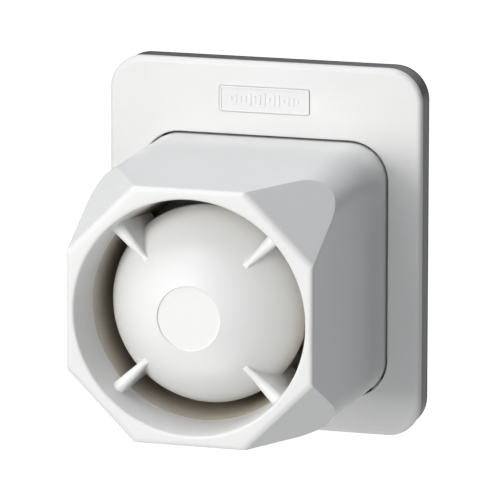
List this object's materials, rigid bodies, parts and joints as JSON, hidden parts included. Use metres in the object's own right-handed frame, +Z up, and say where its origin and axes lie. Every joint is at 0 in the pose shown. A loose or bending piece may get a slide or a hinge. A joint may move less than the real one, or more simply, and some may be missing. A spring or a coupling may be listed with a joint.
{
  "type": "alarm siren",
  "caption": "Wall-mounted alarm siren with a square horn housing, round folded horn, domed reflector on ribs, pull-off cover and shallow back box.",
  "frame": {"origin": "centre of the face that touches the wall", "axes": "+X to the right as the siren is looked at, +Y into the wall, +Z up; the horn points along -Y"},
  "size_m": [0.115, 0.102, 0.1326],
  "materials": {
    "cover_white": "moulded, fine matt texture",
    "horn_white": "moulded, fine matt texture",
    "cup_white": "moulded, satin",
    "box_grey": "moulded, fine spark-eroded texture",
    "inner_brown": "moulded, satin",
    "badge_white": "moulded, satin",
    "gasket_foam": "closed-cell foam",
    "seal_rubber": "matt",
    "grommet_rubber": "matt",
    "zinc_steel": "bright zinc plate",
    "frame_black": "glass-filled, matt",
    "phenolic": "pressed phenolic film",
    "copper_coil": "enamelled copper wire",
    "surround_cloth": "coated cloth",
    "plated_iron": "zinc plate",
    "ferrite": "sintered, matt",
    "board_green": "solder mask",
    "chip_black": "moulded epoxy",
    "capacitor_sleeve": "shrink sleeve",
    "ceramic_tan": "dipped ceramic",
    "resistor_beige": "lacquered",
    "sink_aluminium": "black anodised",
    "ferrite_coil": "ferrite with a lacquered winding",
    "terminal_green": "moulded",
    "terminal_steel": "nickel plate",
    "switch_black": "moulded",
    "slider_white": "moulded",
    "tamper_black": "moulded",
    "plunger_red": "moulded",
    "spring_steel": "spring wire",
    "wire_red": "insulation",
    "wire_black": "insulation",
    "wire_grey": "insulation",
    "tag_brass": "tinned brass"
  },
  "bodies": {
    "siren_body": {"back_box": "box_grey", "wall_gasket": "gasket_foam", "cable_grommet": "grommet_rubber", "horn_housing": "horn_white", "horn_seal": "seal_rubber", "horn_screws": "zinc_steel", "inner_horn": "inner_brown", "inner_horn_screws": "zinc_steel", "reflector_cup": "cup_white", "throat_tube": "inner_brown", "driver_frame": "frame_black", "driver_gasket": "seal_rubber", "driver_screws": "zinc_steel", "diaphragm_surround": "surround_cloth", "clamp_ring": "plated_iron", "top_plate": "plated_iron", "magnet_ring": "ferrite", "back_plate": "plated_iron", "pole_piece": "plated_iron", "siren_board": "board_green", "board_screws": "zinc_steel", "tone_chip": "chip_black", "reservoir_capacitor": "capacitor_sleeve", "small_capacitors": "ceramic_tan", "resistors": "resistor_beige", "heat_sink": "sink_aluminium", "output_transistor": "chip_black", "step_up_inductor": "ferrite_coil", "terminal_block": "terminal_green", "tone_switch": "switch_black", "tamper_switch": "tamper_black", "tamper_spring": "spring_steel", "driver_lead_red": "wire_red", "driver_lead_black": "wire_black", "tamper_leads": "wire_grey", "driver_tags": "tag_brass"},
    "cover": {"front_cover": "cover_white", "badge": "badge_white"},
    "tamper_plunger": {"tamper_plunger": "plunger_red"},
    "diaphragm_unit": {"diaphragm": "phenolic", "voice_coil": "copper_coil"},
    "terminal_screw_1": {"terminal_screw_1": "terminal_steel"},
    "terminal_screw_2": {"terminal_screw_2": "terminal_steel"},
    "terminal_screw_3": {"terminal_screw_3": "terminal_steel"},
    "tone_slider": {"tone_slider": "slider_white"}
  },
  "joints": [
    {"name": "cover_pull", "type": "slide", "parent": "siren_body", "child": "cover", "axis": [0, -1, 0], "range_m": [0, 0.1]},
    {"name": "tamper_press", "type": "slide", "parent": "siren_body", "child": "tamper_plunger", "axis": [0, -1, 0], "range_m": [0, 0.0016], "deforming": ["tamper_spring"]},
    {"name": "diaphragm_stroke", "type": "slide", "parent": "siren_body", "child": "diaphragm_unit", "axis": [0, -1, 0], "range_m": [-0.0004, 0.0004], "stiffness_N_per_m": 8000},
    {"name": "tone_select", "type": "slide", "parent": "siren_body", "child": "tone_slider", "axis": [0, 0, 1], "range_m": [0, 0.002]},
    {"name": "terminal_turn_1", "type": "hinge", "parent": "siren_body", "child": "terminal_screw_1", "pos_m": [-0.03358, -0.015, 0.022], "axis": [0, -1, 0], "continuous": true},
    {"name": "terminal_turn_2", "type": "hinge", "parent": "siren_body", "child": "terminal_screw_2", "pos_m": [-0.0285, -0.015, 0.022], "axis": [0, -1, 0], "continuous": true},
    {"name": "terminal_turn_3", "type": "hinge", "parent": "siren_body", "child": "terminal_screw_3", "pos_m": [-0.02342, -0.015, 0.022], "axis": [0, -1, 0], "continuous": true}
  ],
  "couplings": [
    {"joint": "tamper_press", "follows": "cover_pull", "ratio": 0.016}
  ]
}
